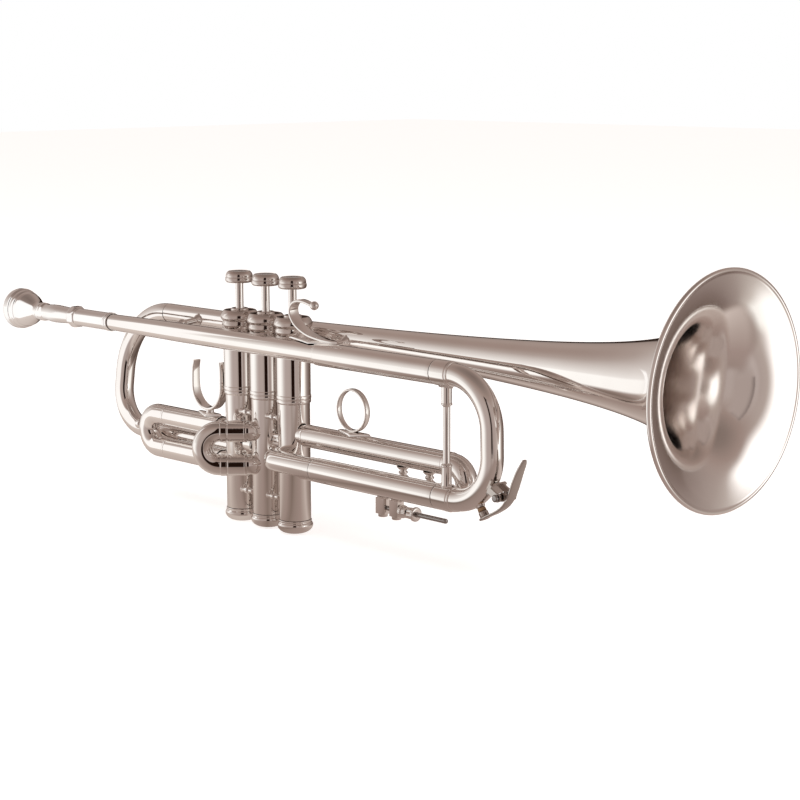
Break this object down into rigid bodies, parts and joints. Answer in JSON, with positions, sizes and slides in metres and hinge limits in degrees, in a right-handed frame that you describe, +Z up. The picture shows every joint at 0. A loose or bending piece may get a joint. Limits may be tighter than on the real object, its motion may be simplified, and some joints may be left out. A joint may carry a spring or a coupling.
{
  "type": "trumpet",
  "caption": "Silver-plated piston-valve trumpet with a flared bell, pull-out tuning and valve slides, sprung finger valves, a hinged water key and a removable mouthpiece.",
  "frame": {"origin": "on the middle valve's axis, level with the flat undersides of the bottom caps", "axes": "+X towards the bell's mouth, along the tubes; +Y the player's left, towards the bell's side; +Z up along the valves"},
  "size_m": [0.5641, 0.1222, 0.1786],
  "materials": {
    "silver_plate": "polished silver plate with a warm grey reflection",
    "piston_metal": "honed nickel alloy",
    "steel": "bright steel wire",
    "pearl": "pearly, glossy",
    "cork": "matt cork",
    "nylon": "smooth moulded"
  },
  "bodies": {
    "trumpet_frame": {"leadpipe": "silver_plate", "mouthpiece_receiver": "silver_plate", "upper_outer_tube": "silver_plate", "lower_outer_tube": "silver_plate", "tuning_knuckle": "silver_plate", "pinky_hook": "silver_plate", "bell": "silver_plate", "bell_bow": "silver_plate", "rear_brace": "silver_plate", "front_brace": "silver_plate", "valve_casing_1": "silver_plate", "valve_casing_2": "silver_plate", "valve_casing_3": "silver_plate", "top_cap_1": "silver_plate", "top_cap_2": "silver_plate", "top_cap_3": "silver_plate", "bottom_cap_1": "silver_plate", "bottom_cap_2": "silver_plate", "bottom_cap_3": "silver_plate", "valve_guide_1": "nylon", "valve_guide_2": "nylon", "valve_guide_3": "nylon", "valve_spring_1": "steel", "valve_spring_2": "steel", "valve_spring_3": "steel", "first_slide_inner_upper": "silver_plate", "first_slide_inner_lower": "silver_plate", "second_slide_outer_upper": "silver_plate", "second_slide_outer_lower": "silver_plate", "third_slide_inner_upper": "silver_plate", "third_slide_inner_lower": "silver_plate", "stop_bracket_rear": "silver_plate", "stop_rod": "silver_plate"},
    "mouthpiece_body": {"mouthpiece": "silver_plate"},
    "valve_1": {"piston_1": "piston_metal", "valve_stem_1": "silver_plate", "finger_button_1": "silver_plate", "button_pearl_1": "pearl"},
    "valve_2": {"piston_2": "piston_metal", "valve_stem_2": "silver_plate", "finger_button_2": "silver_plate", "button_pearl_2": "pearl"},
    "valve_3": {"piston_3": "piston_metal", "valve_stem_3": "silver_plate", "finger_button_3": "silver_plate", "button_pearl_3": "pearl"},
    "main_slide": {"tuning_slide": "silver_plate", "tuning_slide_brace": "silver_plate", "water_key_saddle": "silver_plate", "water_key_screw": "steel", "water_key_spring": "steel"},
    "water_key": {"water_key_lever": "silver_plate", "water_key_cork": "cork"},
    "first_valve_slide": {"first_slide": "silver_plate", "thumb_saddle": "silver_plate"},
    "second_valve_slide": {"second_slide": "silver_plate"},
    "third_valve_slide": {"third_slide": "silver_plate", "finger_ring": "silver_plate", "stop_bracket_front": "silver_plate", "stop_nuts": "silver_plate"}
  },
  "joints": [
    {"name": "mouthpiece_pull", "type": "slide", "parent": "trumpet_frame", "child": "mouthpiece_body", "axis": [-1, 0, 0], "range_m": [0, 0.035]},
    {"name": "valve_1_press", "type": "slide", "parent": "trumpet_frame", "child": "valve_1", "axis": [0, 0, -1], "range_m": [0, 0.0148], "stiffness_N_per_m": 150, "springref_m": -0.015, "deforming": ["valve_spring_1"]},
    {"name": "valve_2_press", "type": "slide", "parent": "trumpet_frame", "child": "valve_2", "axis": [0, 0, -1], "range_m": [0, 0.0148], "stiffness_N_per_m": 150, "springref_m": -0.015, "deforming": ["valve_spring_2"]},
    {"name": "valve_3_press", "type": "slide", "parent": "trumpet_frame", "child": "valve_3", "axis": [0, 0, -1], "range_m": [0, 0.0148], "stiffness_N_per_m": 150, "springref_m": -0.015, "deforming": ["valve_spring_3"]},
    {"name": "main_slide_pull", "type": "slide", "parent": "trumpet_frame", "child": "main_slide", "axis": [1, 0, 0], "range_m": [0, 0.05]},
    {"name": "water_key_press", "type": "hinge", "parent": "main_slide", "child": "water_key", "pos_m": [0.2105, -0.0162, 0.053], "axis": [0, -1, 0], "range_deg": [0, 18], "stiffness_Nm_per_rad": 0.05, "springref_deg": -34.38},
    {"name": "first_slide_pull", "type": "slide", "parent": "trumpet_frame", "child": "first_valve_slide", "axis": [-1, 0, 0], "range_m": [0, 0.025]},
    {"name": "second_slide_pull", "type": "slide", "parent": "trumpet_frame", "child": "second_valve_slide", "axis": [-0.6947, -0.7193, 0], "range_m": [0, 0.008]},
    {"name": "third_slide_pull", "type": "slide", "parent": "trumpet_frame", "child": "third_valve_slide", "axis": [1, 0, 0], "range_m": [0, 0.019]}
  ]
}
